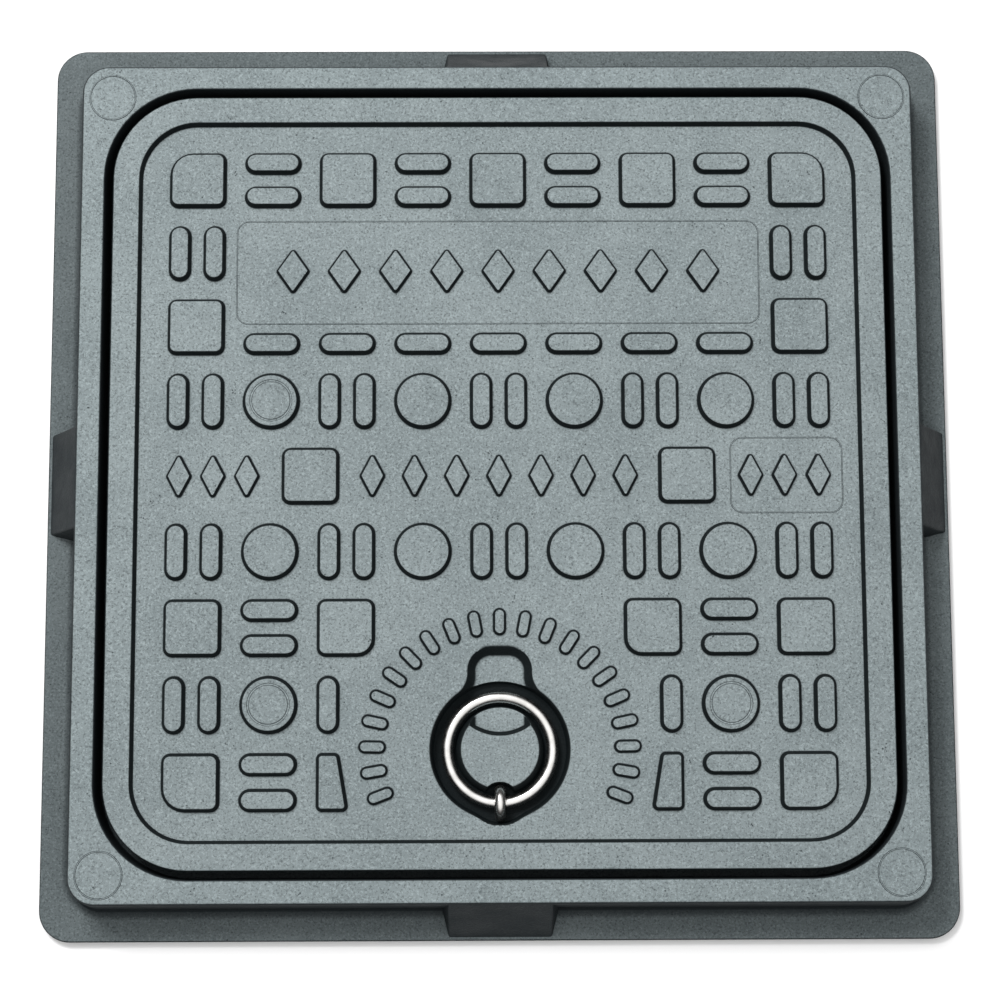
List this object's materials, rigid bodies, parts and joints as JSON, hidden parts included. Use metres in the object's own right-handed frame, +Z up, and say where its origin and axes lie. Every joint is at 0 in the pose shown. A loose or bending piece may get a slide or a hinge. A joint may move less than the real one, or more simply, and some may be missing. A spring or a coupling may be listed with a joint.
{
  "type": "manhole cover",
  "caption": "Square composite inspection cover that drops into a flanged frame, with raised treads and a steel lifting ring folded into a keyhole recess.",
  "frame": {"origin": "centre of the frame's underside, which is the lowest plane of the object", "axes": "+Z up out of the ground, +X and +Y along the sides; the lifting ring is on the -Y side of the cover"},
  "size_m": [0.38, 0.38, 0.031],
  "materials": {
    "moulded_composite": "fine rough as-moulded grey",
    "frame_composite": "fine rough as-moulded grey",
    "polished_steel": "polished stainless wire with light handling marks",
    "plain_steel": "plain stainless fastener",
    "seal_rubber": "matt black"
  },
  "bodies": {
    "frame": {"frame": "frame_composite", "cover_seal": "seal_rubber"},
    "cover": {"cover": "moulded_composite", "ring_staple": "polished_steel", "staple_backing_plate": "plain_steel", "staple_washer_inner": "plain_steel", "staple_washer_outer": "plain_steel", "staple_nut_inner": "plain_steel", "staple_nut_outer": "plain_steel"},
    "lifting_ring": {"lifting_ring": "polished_steel"}
  },
  "joints": [
    {"name": "cover_lift", "type": "slide", "parent": "frame", "child": "cover", "axis": [0, 0, 1], "range_m": [0, 0.06]},
    {"name": "ring_hinge", "type": "hinge", "parent": "cover", "child": "lifting_ring", "pos_m": [0, -0.134, 0.023], "axis": [1, 0, 0], "range_deg": [0, 90]}
  ]
}
